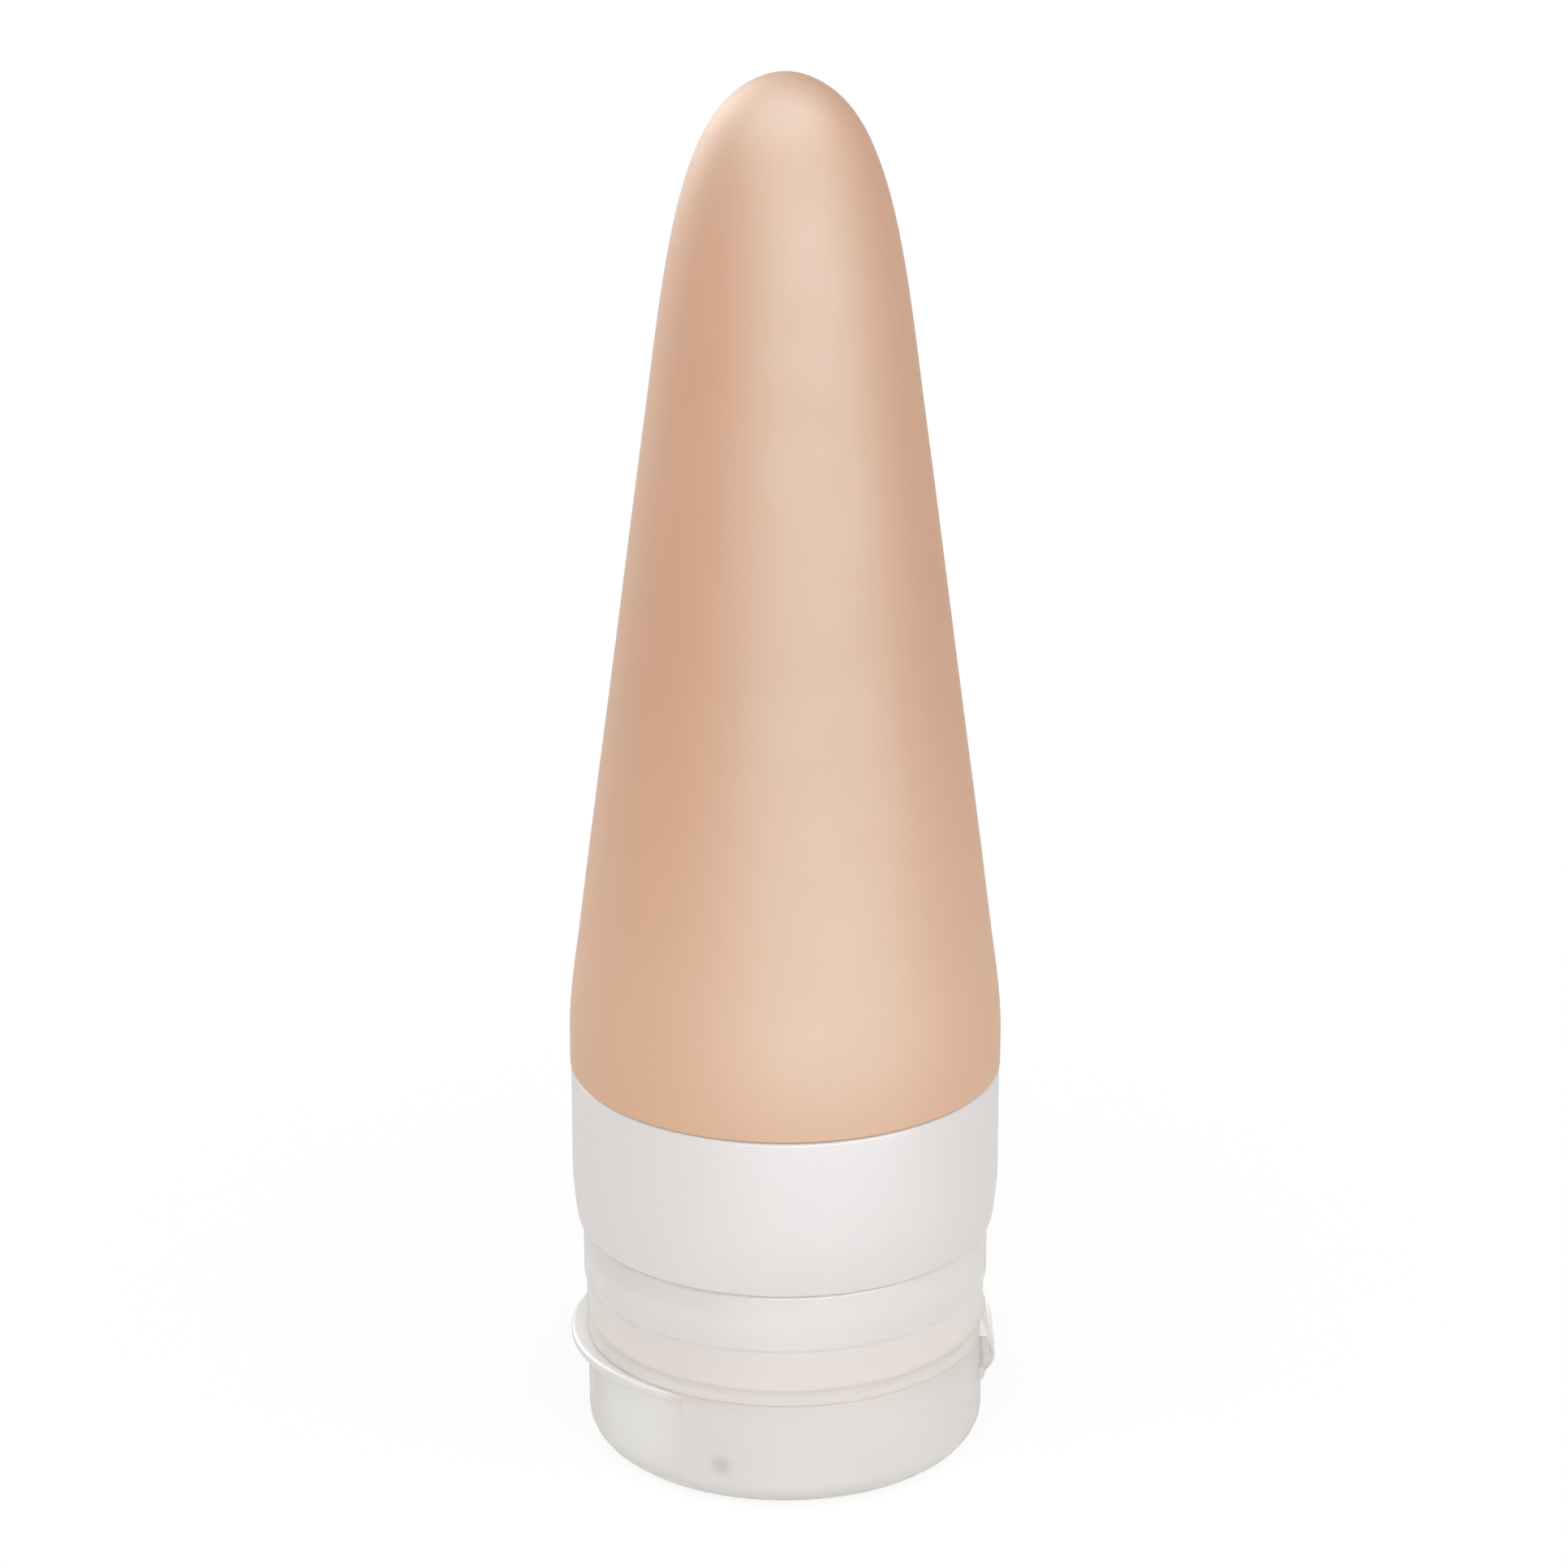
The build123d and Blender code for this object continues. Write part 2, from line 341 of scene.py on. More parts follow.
def make_thread(name, wall_radius, crest_radius, start, turns):
    """A right-handed ridge that winds up a wall and fades into it at both ends."""
    sunk_radius = wall_radius + math.copysign(thread_sink, wall_radius - crest_radius)
    rounding = thread_crest / 4
    ridge = draw(name, [
        (sunk_radius, start - thread_foot / 2, 0),
        (crest_radius, start - thread_crest / 2, rounding),
        (crest_radius, start + thread_crest / 2, rounding),
        (sunk_radius, start + thread_foot / 2, 0),
        (sunk_radius, start - thread_foot / 2, 0),
    ])
    bpy.ops.mesh.select_all(action="SELECT")
    bpy.ops.mesh.edge_face_add()
    steps = round(steps_in_a_turn * turns)
    angle = 2 * math.pi / steps_in_a_turn
    rise = thread_lead / steps_in_a_turn
    shares = [min(1, (min(step, steps - step) + end_size) / run_out_steps) for step in range(steps + 1)]
    foot = Vector((sunk_radius, 0, start))
    bpy.ops.transform.resize(value=(shares[0],) * 3, center_override=foot)
    for step in range(steps):
        bpy.ops.mesh.extrude_region_move(TRANSFORM_OT_translate={"value": (0, 0, rise)})
        bpy.ops.transform.rotate(value=-angle, orient_axis="Z", center_override=(0, 0, 0))
        round_angle = angle * (step + 1)
        across, along = math.cos(round_angle), math.sin(round_angle)
        foot = Vector((sunk_radius * across, sunk_radius * along, foot.z + rise))
        bpy.ops.transform.resize(value=(shares[step + 1] / shares[step],) * 3, center_override=foot)
    weld(ridge)
    return put_down(ridge)


def hinge_land(foot, top, face, wall_middle, slope=0.0):
    """A land on the hinge side, with softened edges, that starts inside a round wall.

    The top of its face leans in by a slope.
    """
    width = 9.0 * mm
    edge = 0.35 * mm
    middle = (foot + top) / 2
    land = add_block((face, width, top - foot), (face / 2, 0, middle))
    bpy.ops.object.mode_set(mode="EDIT")
    select(land, lambda place: place.x > face / 2 and place.z > middle)
    bpy.ops.transform.translate(value=(-slope, 0, 0))
    select(land, lambda place: place.x > face / 2)
    bpy.ops.mesh.bevel(offset=edge, segments=corner_steps, affect="EDGES")
    bpy.ops.object.mode_set(mode="OBJECT")
    combine(land, add_cylinder(wall_middle, top, middle), "DIFFERENCE")
    return land


def make_screw_cap():
    """The frosted cap: skirt with a thicker open end, deck, seal ring, lid spigot and nozzle cup."""
    band_height = 6.7 * mm
    band_rounding = 0.5 * mm
    foot_edge = 0.08 * mm
    small = 0.2 * mm
    seal_ring_clearance = 0.3 * mm
    seal_ring_wall = 1.2 * mm
    seal_ring_entry = 1.5 * mm
    spigot_height = 1.5 * mm
    spigot_wall = 1.2 * mm
    nozzle_radius = 8.2 * mm
    nozzle_wall = 1.2 * mm
    nozzle_rounding = 0.6 * mm
    band_foot = cap_high.z - band_height
    ring_radius = mouth_radius - seal_ring_clearance
    ring_bore = ring_radius - seal_ring_wall
    ring_top = tube_low.z + seal_ring_entry
    spigot_radius = lid_bore - parting_gap
    spigot_bore = spigot_radius - spigot_wall
    spigot_foot = cap_underside - spigot_height
    nozzle_bore = nozzle_radius - nozzle_wall
    corners = [
        (skirt_radius, cap_underside, foot_edge),
        (skirt_radius, band_foot, 0),
        (cap_high.y, band_foot + band_reach, small),
        (cap_high.y, cap_high.z, band_rounding),
        (skirt_bore, cap_high.z, small),
        (skirt_bore, deck_top, small),
        (ring_radius, deck_top, 0),
        (ring_radius, ring_top, 2 * small),
        (ring_bore, ring_top, 2 * small),
        (ring_bore, deck_top, small),
        (nozzle_bore, deck_top, small),
        (nozzle_bore, valve_low.z, 0),
        (orifice_radius, valve_low.z, small),
        (orifice_radius, cap_low.z, small),
        (nozzle_radius, cap_low.z, nozzle_rounding),
        (nozzle_radius, cap_underside, small),
        (spigot_bore, cap_underside, small),
        (spigot_bore, spigot_foot, small),
        (spigot_radius, spigot_foot, small),
        (spigot_radius, cap_underside, 0),
    ]
    cap = turn("screw_cap", corners)
    block_height = 2.85 * mm
    block_slope = 0.9 * mm
    block_top = cap_underside + block_height
    block = hinge_land(cap_underside, block_top, cap_high.x, skirt_radius - skirt_wall / 2, block_slope)
    combine(cap, block, "UNION")
    return clean_up(cap)


# Shallow round pads that the moulding pins leave inside the lid: how many, how far out and at which angle.
pad_count = 3
pad_reach = 13.0 * mm
first_pad_angle = math.radians(238.5)


def make_pin_pad(turned):
    """One shallow round pad on the lid's inner floor."""
    radius, rise, edge = 1.5 * mm, 0.3 * mm, 0.12 * mm
    pad = turn("pin_pad", [
        (0, cap_floor - rise, 0),
        (radius, cap_floor - rise, 0),
        (radius, cap_floor + rise, edge),
        (0, cap_floor + rise, 0),
    ])
    angle = first_pad_angle + turned
    shift(pad, (pad_reach * math.cos(angle), pad_reach * math.sin(angle), 0))
    return pad


def make_thumb_lip():
    """The crescent that the thumb lifts: a thin round plate, off centre, with its middle cut away."""
    tuck = 1.5 * mm
    thickness = 1.1 * mm
    radius = lid_radius - tuck
    centre = lid_low.x + radius
    middle = lid_high.z - thickness / 2
    rounding = 0.45 * thickness
    lip = turn("thumb_lip", [
        (0, middle - thickness / 2, 0),
        (radius, middle - thickness / 2, rounding),
        (radius, middle + thickness / 2, rounding),
        (0, middle + thickness / 2, 0),
    ])
    shift(lip, (centre, 0, 0))
    combine(lip, add_cylinder(lid_radius - lid_wall / 2, lid_high.z, middle), "DIFFERENCE")
    return lip


def make_flip_lid():
    """The frosted lid: a shallow cup with a rounded foot, a plug, a thumb lip and the hinge's lower pad."""
    foot_rounding = 3.1 * mm
    rim_rounding = 0.08 * mm
    small = 0.3 * mm
    plug_clearance = 0.4 * mm
    plug_wall = 1.0 * mm
    plug_entry = 0.9 * mm
    rim_top = lid_high.z + parting_gap / 2
    plug_radius = orifice_radius - plug_clearance
    plug_top = cap_low.z + plug_entry
    corners = [
        (0, 0, 0),
        (lid_radius, 0, foot_rounding),
        (lid_radius, rim_top, rim_rounding),
        (lid_bore, rim_top, rim_rounding),
        (lid_bore, cap_floor, foot_rounding - lid_wall),
        (plug_radius, cap_floor, small),
        (plug_radius, plug_top, small),
        (plug_radius - plug_wall, plug_top, small),
        (plug_radius - plug_wall, cap_floor, small),
        (0, cap_floor, 0),
    ]
    lid = turn("lid_shell", corners)
    combine(lid, make_thumb_lip(), "UNION")
    for turned in range(pad_count):
        combine(lid, make_pin_pad(turned * 2 * math.pi / pad_count), "UNION")
    pad_height = 1.4 * mm
    pad_foot = film_low.z - pad_height / 2
    pad = hinge_land(pad_foot, pad_foot + pad_height, film_low.x, lid_radius - lid_wall / 2)
    combine(lid, pad, "UNION")
    return clean_up(lid)


def make_drip_valve():
    """The soft disc over the orifice, with a domed middle cut by a cross slit."""
    flange_thickness = 1.0 * mm
    dome_radius = 3.8 * mm
    web = 0.8 * mm
    edge = 0.15 * mm
    slit_length, slit_width = 4.4 * mm, 0.12 * mm
    shoulder_share = 0.6
    top_sag, under_sag = 0.3 * mm, 0.35 * mm
    flat, top_slope, under_slope = (1, 0), (1, -1), (1, -1.3)
    flange_top = valve_low.z + flange_thickness
    under_top = valve_high.z - web
    shoulder = shoulder_share * dome_radius
    dome = smooth_run(
        [(0, valve_high.z), (shoulder, valve_high.z - top_sag), (dome_radius + web, flange_top)],
        flat, top_slope, corner_steps,
    )
    under = smooth_run(
        [(0, under_top), (shoulder, under_top - under_sag), (dome_radius, valve_low.z)],
        flat, under_slope, corner_steps,
    )
    corners = [(place.x, place.z, 0) for place in under]
    corners += [
        (valve_high.y, valve_low.z, edge),
        (valve_high.y, flange_top, edge),
        *[(place.x, place.z, 0) for place in reversed(dome)],
    ]
    valve = turn("drip_valve", corners)
    slit_depth = 4 * web
    for across, along in ((slit_length, slit_width), (slit_width, slit_length)):
        slit = add_block((across, along, slit_depth), (0, 0, valve_high.z))
        combine(valve, slit, "DIFFERENCE")
    return clean_up(valve)


def make_valve_ring():
    """The white ring that clamps the valve's flange."""
    wall = 1.9 * mm
    edge = 0.35 * mm
    bore = ring_high.y - wall
    corners = [
        (bore, ring_low.z, edge / 2),
        (ring_high.y, ring_low.z, edge / 2),
        (ring_high.y, ring_high.z, edge),
        (bore, ring_high.z, edge),
    ]
    return turn("valve_ring", corners)


def make_hinge_film():
    """The thin film that bows out between the cap's block and the lid's pad."""
    thickness = 0.4 * mm
    crest_share = 0.42
    steps = 16
    way_out, way_in = (0.8, -1), (-0.8, -1)
    width = film_high.y - film_low.y
    crest = film_low.z + (lid_high.z - film_low.z) * crest_share
    line = smooth_run(
        [(cap_high.x, cap_underside), (film_high.x, crest), (film_low.x, film_low.z)],
        way_out, way_in, steps,
    )
    inner = inner_run(line, -thickness)
    corners = [(place.x, place.z, 0) for place in [*line, *reversed(inner)]]
    film = draw("hinge_film", [*corners, corners[0]])
    bpy.ops.mesh.select_all(action="SELECT")
    bpy.ops.mesh.edge_face_add()
    bpy.ops.mesh.extrude_region_move(TRANSFORM_OT_translate={"value": (0, width, 0)})
    bpy.ops.mesh.select_all(action="SELECT")
    bpy.ops.transform.translate(value=(0, -width / 2, 0))
    weld(film)
    return put_down(film)


def principled(name, colour, roughness, **settings):
    """A material whose steady values sit on the shader's own sockets, which the settings are named after."""
    material = bpy.data.materials.new(name)
    material.use_nodes = True
    shader = material.node_tree.nodes["Principled BSDF"]
    shader.inputs["Base Color"].default_value = (*colour, 1)
    shader.inputs["Roughness"].default_value = roughness
    for socket, value in settings.items():
        shader.inputs[socket.replace("_", " ").title().replace("Ior", "IOR")].default_value = value
    return material


def noise(material, scale, detail=2.0, roughness=0.5):
    """A noise pattern on the piece's own coordinates."""
    nodes, links = material.node_tree.nodes, material.node_tree.links
    place = nodes.get("Place") or nodes.new("ShaderNodeTexCoord")
    place.name = "Place"
    pattern = nodes.new("ShaderNodeTexNoise")
    pattern.inputs["Scale"].default_value = scale
    pattern.inputs["Detail"].default_value = detail
    pattern.inputs["Roughness"].default_value = roughness
    links.new(place.outputs["Object"], pattern.inputs["Vector"])
    return pattern.outputs["Fac"]


# A noise pattern's value seldom leaves this range.
pattern_low, pattern_high = 0.2, 0.8


def vary_colour(material, pattern, colour, darker, lighter):
    """Lets the colour wander between a darker and a lighter share of itself with a pattern."""
    nodes, links = material.node_tree.nodes, material.node_tree.links
    dark, light = ([part * share for part in colour] for share in (darker, lighter))
    ramp = nodes.new("ShaderNodeValToRGB")
    ramp.color_ramp.interpolation = "EASE"
    ramp.color_ramp.elements[0].position = pattern_low
    ramp.color_ramp.elements[1].position = pattern_high
    ramp.color_ramp.elements[0].color = (*dark, 1)
    ramp.color_ramp.elements[1].color = (*light, 1)
    links.new(pattern, ramp.inputs["Fac"])
    links.new(ramp.outputs["Color"], nodes["Principled BSDF"].inputs["Base Color"])


def vary_roughness(material, pattern, low, high):
    """Lets the roughness wander between two values with a pattern."""
    nodes, links = material.node_tree.nodes, material.node_tree.links
    spread = nodes.new("ShaderNodeMapRange")
    spread.interpolation_type = "SMOOTHSTEP"
    spread.inputs["From Min"].default_value = pattern_low
    spread.inputs["From Max"].default_value = pattern_high
    spread.inputs["To Min"].default_value = low
    spread.inputs["To Max"].default_value = high
    links.new(pattern, spread.inputs["Value"])
    links.new(spread.outputs["Result"], nodes["Principled BSDF"].inputs["Roughness"])


def math_node(nodes, links, operation, first, second):
    """One step of arithmetic in a node tree. The second value is a socket or a number."""
    step = nodes.new("ShaderNodeMath")
    step.operation = operation
    links.new(first, step.inputs[0])
    if isinstance(second, (int, float)):
        step.inputs[1].default_value = second
    else:
        links.new(second, step.inputs[1])
    return step.outputs["Value"]


def height_of(material):
    """The height of a point on the piece. The material has a noise pattern already."""
    nodes, links = material.node_tree.nodes, material.node_tree.links
    split = nodes.new("ShaderNodeSeparateXYZ")
    links.new(nodes["Place"].outputs["Object"], split.inputs["Vector"])
    return split.outputs["Z"]


def reach_of(material):
    """The distance of a point on the piece from the bottle's axis."""
    nodes, links = material.node_tree.nodes, material.node_tree.links
    flat, length = (nodes.new("ShaderNodeVectorMath") for _ in range(2))
    flat.operation, length.operation = "MULTIPLY", "LENGTH"
    flat.inputs[1].default_value = (1, 1, 0)
    links.new(nodes["Place"].outputs["Object"], flat.inputs[0])
    links.new(flat.outputs["Vector"], length.inputs[0])
    return length.outputs["Value"]


def distance_from(material, centre):
    """The distance of a point on the piece from one place."""
    nodes, links = material.node_tree.nodes, material.node_tree.links
    distance = nodes.new("ShaderNodeVectorMath")
    distance.operation = "DISTANCE"
    distance.inputs[1].default_value = centre
    links.new(nodes["Place"].outputs["Object"], distance.inputs[0])
    return distance.outputs["Value"]


def tint_between(material, measure, low, high, fade, tint):
    """Goes over to another tone where a measure lies between two values, softly at both ends."""
    nodes, links = material.node_tree.nodes, material.node_tree.links
    shares = []
    for start, end in ((low - fade, low + fade), (high + fade, high - fade)):
        share = nodes.new("ShaderNodeMapRange")
        share.interpolation_type = "SMOOTHSTEP"
        share.inputs["From Min"].default_value = start
        share.inputs["From Max"].default_value = end
        links.new(measure, share.inputs["Value"])
        shares.append(share.outputs["Result"])
    mix = nodes.new("ShaderNodeMix")
    mix.data_type = "RGBA"
    links.new(math_node(nodes, links, "MULTIPLY", *shares), mix.inputs["Factor"])
    colour = nodes["Principled BSDF"].inputs["Base Color"]
    links.new(colour.links[0].from_socket, mix.inputs["A"])
    mix.inputs["B"].default_value = (*tint, 1)
    links.new(mix.outputs["Result"], colour)


def roughen_below(material, height, fade, extra):
    """Makes the surface rougher below a height."""
    nodes, links = material.node_tree.nodes, material.node_tree.links
    share = nodes.new("ShaderNodeMapRange")
    share.interpolation_type = "SMOOTHSTEP"
    share.inputs["From Min"].default_value = height + fade
    share.inputs["From Max"].default_value = height - fade
    share.inputs["To Max"].default_value = extra
    links.new(height_of(material), share.inputs["Value"])
    rough = nodes["Principled BSDF"].inputs["Roughness"]
    links.new(math_node(nodes, links, "ADD", rough.links[0].from_socket, share.outputs["Result"]), rough)


def add_relief(material, pattern, height, strength):
    """Raises a pattern on the surface by a height in metres."""
    nodes, links = material.node_tree.nodes, material.node_tree.links
    bump = nodes.new("ShaderNodeBump")
    bump.inputs["Strength"].default_value = strength
    bump.inputs["Distance"].default_value = height
    links.new(pattern, bump.inputs["Height"])
    links.new(bump.outputs["Normal"], nodes["Principled BSDF"].inputs["Normal"])


def make_peach_silicone():
    """Matte peach silicone, painted paler down by the collar: painted light for the glow that the white
    collar throws up.
    """
    peach, painted_light_peach = (0.495, 0.24, 0.133), (0.56, 0.305, 0.185)
    painted_light_reach = 27 * mm
    material = principled(
        "matte_silicone", peach, roughness=0.6, specular_ior_level=0.7, specular_tint=(0.45, 1, 1, 1)
    )
    vary_colour(material, noise(material, scale=45.0), peach, darker=0.984, lighter=1.016)
    # Painted light: the peach is painted paler towards the collar.
    painted_light_top = tube_ledge + painted_light_reach
    tint_between(material, height_of(material), tube_low.z, painted_light_top, painted_light_reach, painted_light_peach)
    vary_roughness(material, noise(material, scale=120.0), low=0.58, high=0.64)
    add_relief(material, noise(material, scale=2600.0, detail=3.0), height=0.02 * mm, strength=0.35)
    return material


def make_white_plastic():
    """Satin white plastic."""
    white = (0.58, 0.548, 0.536)
    material = principled("satin_white", white, roughness=0.5)
    vary_colour(material, noise(material, scale=70.0), white, darker=0.991, lighter=1.009)
    vary_roughness(material, noise(material, scale=260.0), low=0.47, high=0.53)
    add_relief(material, noise(material, scale=1500.0, detail=3.0), height=0.01 * mm, strength=0.25)
    return material


def make_clear_silicone():
    """Milky silicone, for the valve."""
    milk = (0.80, 0.79, 0.77)
    material = principled("milky_silicone", milk, roughness=0.4, transmission_weight=0.4, ior=1.41)
    vary_colour(material, noise(material, scale=200.0), milk, darker=0.975, lighter=1.025)
    add_relief(material, noise(material, scale=2600.0, detail=3.0), height=0.01 * mm, strength=0.3)
    return material


def make_frosted_plastic(name, colour, clearness, ior=1.49):
    """Frosted plastic. Clearness is the share of light that passes through and isn't scattered back."""
    material = principled(
        name, colour, roughness=0.42, transmission_weight=clearness, ior=ior,
        subsurface_weight=0.6, subsurface_scale=1.2 * mm, subsurface_radius=(1, 0.97, 0.94),
    )
    vary_colour(material, noise(material, scale=90.0), colour, darker=0.985, lighter=1.01)
    vary_roughness(material, noise(material, scale=300.0), low=0.40, high=0.47)
    add_relief(material, noise(material, scale=2200.0, detail=3.0), height=0.015 * mm, strength=0.4)
    return material


def make_cap_plastic():
    """The cap's plastic, with painted light: a painted peach glow round the mouth, where the silicone's tone
    shines through, and a painted lighter, warmer band beside the deck.
    """
    painted_mouth_peach_light, painted_deck_light = (0.885, 0.83, 0.785), (1, 0.915, 0.85)
    mouth_rise, mouth_fade = 2.5 * mm, 0.8 * mm
    deck_drop, deck_rise, deck_fade = 1.0 * mm, 0.2 * mm, 0.3 * mm
    material = make_frosted_plastic("frosted_cap", (0.88, 0.85, 0.82), clearness=0.5)
    height = height_of(material)
    # Painted light: peach light from the silicone shining through round the mouth.
    tint_between(material, height, cap_underside, washer_high.z + mouth_rise, mouth_fade, painted_mouth_peach_light)
    # Painted light: a lighter, warmer band beside the deck.
    tint_between(material, height, cap_underside - deck_drop, deck_top + deck_rise, deck_fade, painted_deck_light)
    return material


def make_lid_plastic():
    """The lid's plastic. Its rim has a little painted peach light from the silicone, and its resting face has
    painted shade and is rougher.

    The thin thumb lip and hinge pad are painted lighter, as is a patch below the lip: painted light for light
    that passes through them.
    The gate mark is darker.
    """
    painted_rim_peach_light, rim_drop, rim_rise, rim_fade = (0.885, 0.825, 0.775), 1.0 * mm, 2 * mm, 0.8 * mm
    thin, thin_start, thin_fade = (0.97, 0.96, 0.94), 0.3 * mm, 0.2 * mm
    painted_light_patch, painted_light_reach, painted_light_fade = (1, 0.985, 0.945), 5.2 * mm, 2.5 * mm
    painted_light_place = (-16.2 * mm, -13.4 * mm, 7.6 * mm)
    gate, gate_reach, gate_fade = (0.66, 0.64, 0.63), 0.9 * mm, 0.8 * mm
    gate_place = (-6.8 * mm, -20.2 * mm, 4.8 * mm)
    resting_face_painted_shade, shade_and_rough_top, shade_and_rough_fade, dull_roughness = (0.6, 0.575, 0.55), 0.4 * mm, 0.3 * mm, 0.5
    material = make_frosted_plastic("frosted_lid", (0.885, 0.855, 0.82), clearness=0.65)
    height, reach = height_of(material), reach_of(material)
    # Painted light: a little peach light from the silicone at the rim.
    tint_between(material, height, lid_high.z - rim_drop, lid_high.z + rim_rise, rim_fade, painted_rim_peach_light)
    # Painted light: the thin thumb lip and hinge pad are painted whiter.
    tint_between(material, reach, lid_radius + thin_start, 2 * lid_radius, thin_fade, thin)
    # Painted light: a lighter patch below the thumb lip.
    tint_between(material, distance_from(material, painted_light_place), -painted_light_reach, painted_light_reach, painted_light_fade, painted_light_patch)
    tint_between(material, distance_from(material, gate_place), -gate_reach, gate_reach, gate_fade, gate)
    # Painted shade: the resting face is painted darker, and below it is also made rougher.
    tint_between(material, height, -1 * mm, shade_and_rough_top, shade_and_rough_fade, resting_face_painted_shade)
    roughen_below(material, shade_and_rough_top, shade_and_rough_fade, dull_roughness)
    return material


matte_silicone = make_peach_silicone()
satin_white = make_white_plastic()
milky_silicone = make_clear_silicone()
frosted_cap = make_cap_plastic()
frosted_lid = make_lid_plastic()
frosted_film = make_frosted_plastic("frosted_film", (0.97, 0.96, 0.95), clearness=0.85, ior=1.2)


def dress(piece, material, slot, body, *nodes):
    """Gives a piece its material, sets it on its body and lets it stand for nodes. The slot is not used."""
    piece.data.materials.clear()
    piece.data.materials.append(material)
    if body:
        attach(piece, body)
    if nodes:
        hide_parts(*nodes)


neck_thread_start = collar_low.z + 1.85 * mm
cap_thread_start = washer_high.z + 0.75 * mm
neck_thread = make_thread(
    "neck_thread", sleeve_radius, sleeve_radius + thread_reach, neck_thread_start, turns=1.0
)
cap_thread = make_thread("cap_thread", skirt_bore, skirt_bore - thread_reach, cap_thread_start, turns=1.7)

dress(make_squeeze_body(), matte_silicone, "peach_silicone", "bottle", "silicone_tube")
dress(make_collar_ring(), satin_white, "white_plastic", "bottle", "collar")
dress(neck_thread, satin_white, "white_plastic", "bottle")
dress(make_mouth_washer(), matte_silicone, "peach_silicone", "gasket", "mouth_gasket")
dress(make_screw_cap(), frosted_cap, "frosted_plastic", "cap", "cap_base")
dress(cap_thread, frosted_cap, "frosted_plastic", "cap")
dress(make_flip_lid(), frosted_lid, "frosted_plastic", "lid", "flip_lid")
dress(make_drip_valve(), milky_silicone, "clear_silicone", "cap", "no_drip_valve")
dress(make_valve_ring(), satin_white, "white_plastic", "cap", "valve_retainer")

# The film goes over from cap to lid along its height.
film = make_hinge_film()
dress(film, frosted_film, "frosted_plastic", None, "living_hinge")
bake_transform(film)

# Camera: level with the photograph's own view, 20 degrees above the horizon.
view_elevation = math.radians(20)
view_width = math.radians(16.6)
view_distance = 0.5672
view_height = 0.07455
sensor_width = 36
photo_width = 1932
axis_offset_pixels = 1.5
back_off = Vector((0, -math.cos(view_elevation), math.sin(view_elevation))) * view_distance
bpy.ops.object.camera_add(
    location=Vector((0, 0, view_height)) + back_off, rotation=(math.pi / 2 - view_elevation, 0, 0)
)
camera = bpy.context.object
camera.data.sensor_width = sensor_width
camera.data.lens = sensor_width / 2 / math.tan(view_width / 2)
camera.data.shift_x = -axis_offset_pixels / photo_width
bpy.context.scene.camera = camera


def choose(nodes, links, share, low, high):
    """Goes from one value to another with a share between 0 and 1. A value is a socket or a number."""
    spread = nodes.new("ShaderNodeMapRange")
    links.new(share, spread.inputs["Value"])
    for name, value in (("To Min", low), ("To Max", high)):
        if isinstance(value, (int, float)):
            spread.inputs[name].default_value = value
        else:
            links.new(value, spread.inputs[name])
    return spread.outputs["Result"]


def seen_rays(nodes, links, path):
    """1 where a surface is seen, directly or through another piece, and 0 where it lights something."""
    return math_node(
        nodes, links, "MAXIMUM", path.outputs["Is Camera Ray"], path.outputs["Is Transmission Ray"]
    )


def make_world():
    """A white surround. It lights the object more from the front than from behind."""
    back_light, front_light = 0.30, 1.78
    main_way = math.radians(5)
    gloss_light = 0.55
    world = bpy.data.worlds.new("studio")
    world.use_nodes = True
    nodes, links = world.node_tree.nodes, world.node_tree.links
    background = nodes["Background"]
    background.inputs["Color"].default_value = (1, 1, 1, 1)
    place = nodes.new("ShaderNodeTexCoord")
    facing = nodes.new("ShaderNodeVectorMath")
    facing.operation = "DOT_PRODUCT"
    facing.inputs[1].default_value = (math.sin(main_way), -math.cos(main_way), 0)
    links.new(place.outputs["Generated"], facing.inputs[0])
    front_share = nodes.new("ShaderNodeMapRange")
    front_share.inputs["From Min"].default_value = -1
    front_share.inputs["From Max"].default_value = 1
    links.new(facing.outputs["Value"], front_share.inputs["Value"])
    light = choose(nodes, links, front_share.outputs["Result"], back_light, front_light)
    path = nodes.new("ShaderNodeLightPath")
    light = choose(nodes, links, path.outputs["Is Glossy Ray"], light, gloss_light)
    light = choose(nodes, links, seen_rays(nodes, links, path), light, 1)
    links.new(light, background.inputs["Strength"])
    bpy.context.scene.world = world


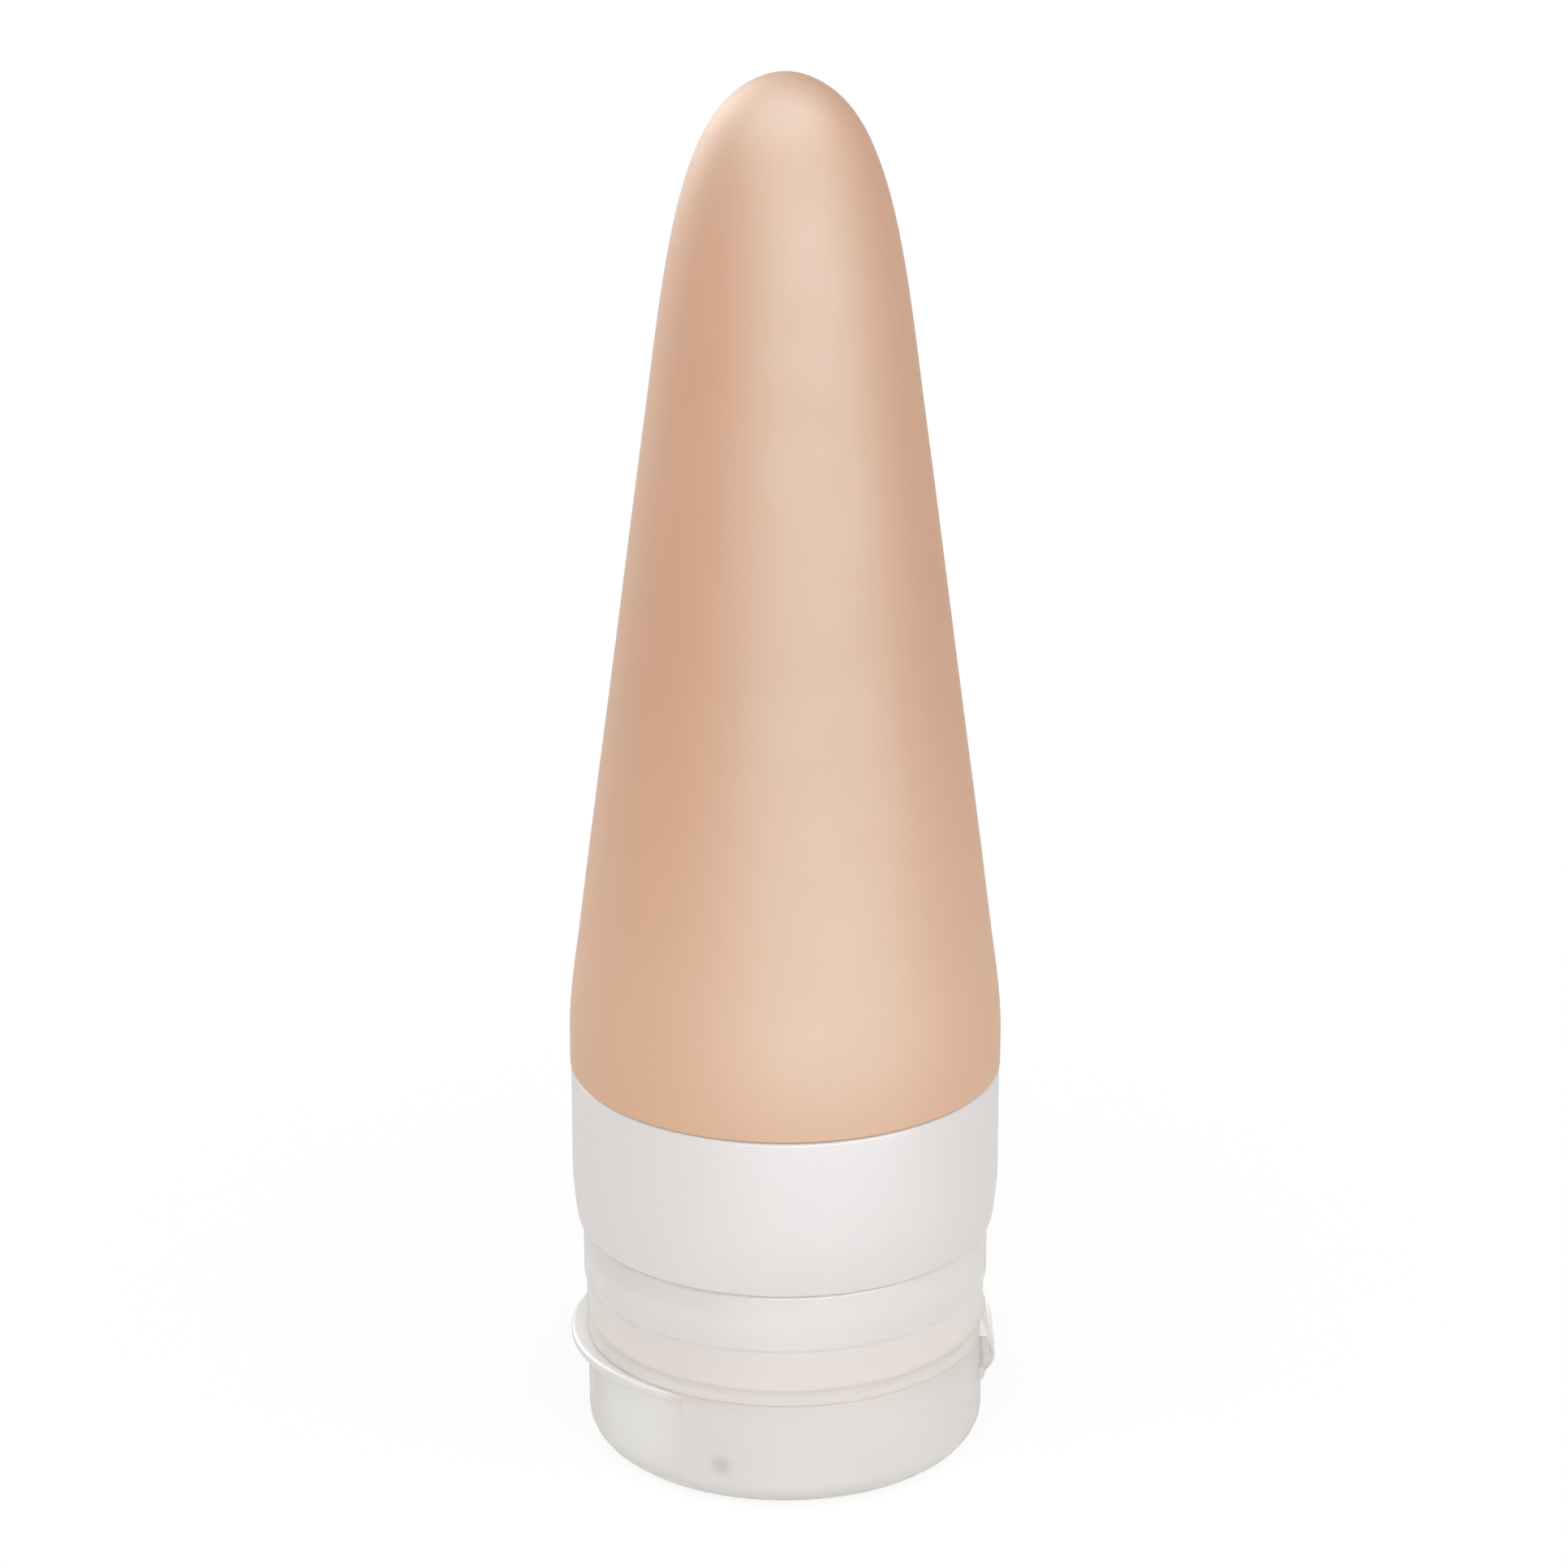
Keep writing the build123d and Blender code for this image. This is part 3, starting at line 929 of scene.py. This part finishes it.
def make_floor():
    """A plain white floor that keeps a light shadow. It is clear from below, so that it hides nothing."""
    floor_size = 8
    shadow_left = 0.18
    bpy.ops.object.select_all(action="DESELECT")
    bpy.ops.mesh.primitive_plane_add(size=floor_size)
    floor = bpy.context.object
    floor.name = "floor"
    material = principled("floor_white", (1, 1, 1), roughness=0.9, specular_ior_level=0.0)
    nodes, links = material.node_tree.nodes, material.node_tree.links
    glow = nodes.new("ShaderNodeEmission")
    glow.inputs["Strength"].default_value = 1
    path = nodes.new("ShaderNodeLightPath")
    seen = math_node(nodes, links, "MAXIMUM", seen_rays(nodes, links, path), path.outputs["Is Glossy Ray"])
    share = math_node(nodes, links, "MULTIPLY", seen, 1 - shadow_left)
    blend = nodes.new("ShaderNodeMixShader")
    links.new(share, blend.inputs["Fac"])
    links.new(nodes["Principled BSDF"].outputs["BSDF"], blend.inputs[1])
    links.new(glow.outputs["Emission"], blend.inputs[2])
    clear = nodes.new("ShaderNodeBsdfTransparent")
    side = nodes.new("ShaderNodeNewGeometry")
    from_below = nodes.new("ShaderNodeMixShader")
    links.new(side.outputs["Backfacing"], from_below.inputs["Fac"])
    links.new(blend.outputs["Shader"], from_below.inputs[1])
    links.new(clear.outputs["BSDF"], from_below.inputs[2])
    links.new(from_below.outputs["Shader"], nodes["Material Output"].inputs["Surface"])
    floor.data.materials.append(material)


softbox_distance = 1.0


def make_softbox(name, azimuth, elevation, width, height, radiance, colour):
    """A soft light panel whose gloss alone is seen. Azimuth 0 is behind the camera and 90 is to the right."""
    side, rise = math.radians(azimuth), math.radians(elevation)
    way = Vector((math.sin(side) * math.cos(rise), -math.cos(side) * math.cos(rise), math.sin(rise)))
    bpy.ops.object.light_add(type="AREA", location=Vector((0, 0, view_height)) + way * softbox_distance)
    light = bpy.context.object
    light.name = name
    light.rotation_mode = "QUATERNION"
    light.rotation_quaternion = way.to_track_quat("Z", "Y")
    light.data.shape = "RECTANGLE"
    light.data.size = width
    light.data.size_y = height
    light.data.energy = radiance * math.pi * width * height
    light.data.color = colour
    light.visible_camera = False
    light.visible_diffuse = False
    light.visible_transmission = False


make_world()
make_floor()
cool_white, white = (0.90, 0.92, 1), (1, 1, 1)
make_softbox("front_softbox", 22, 5, width=2.0, height=0.5, radiance=15.0, colour=cool_white)
make_softbox("top_softbox", 5, 76, width=2.0, height=0.8, radiance=10.0, colour=cool_white)
make_softbox("left_rim_softbox", -137, 28, width=0.6, height=0.9, radiance=9.0, colour=white)

bpy.context.scene.view_settings.view_transform = "Standard"
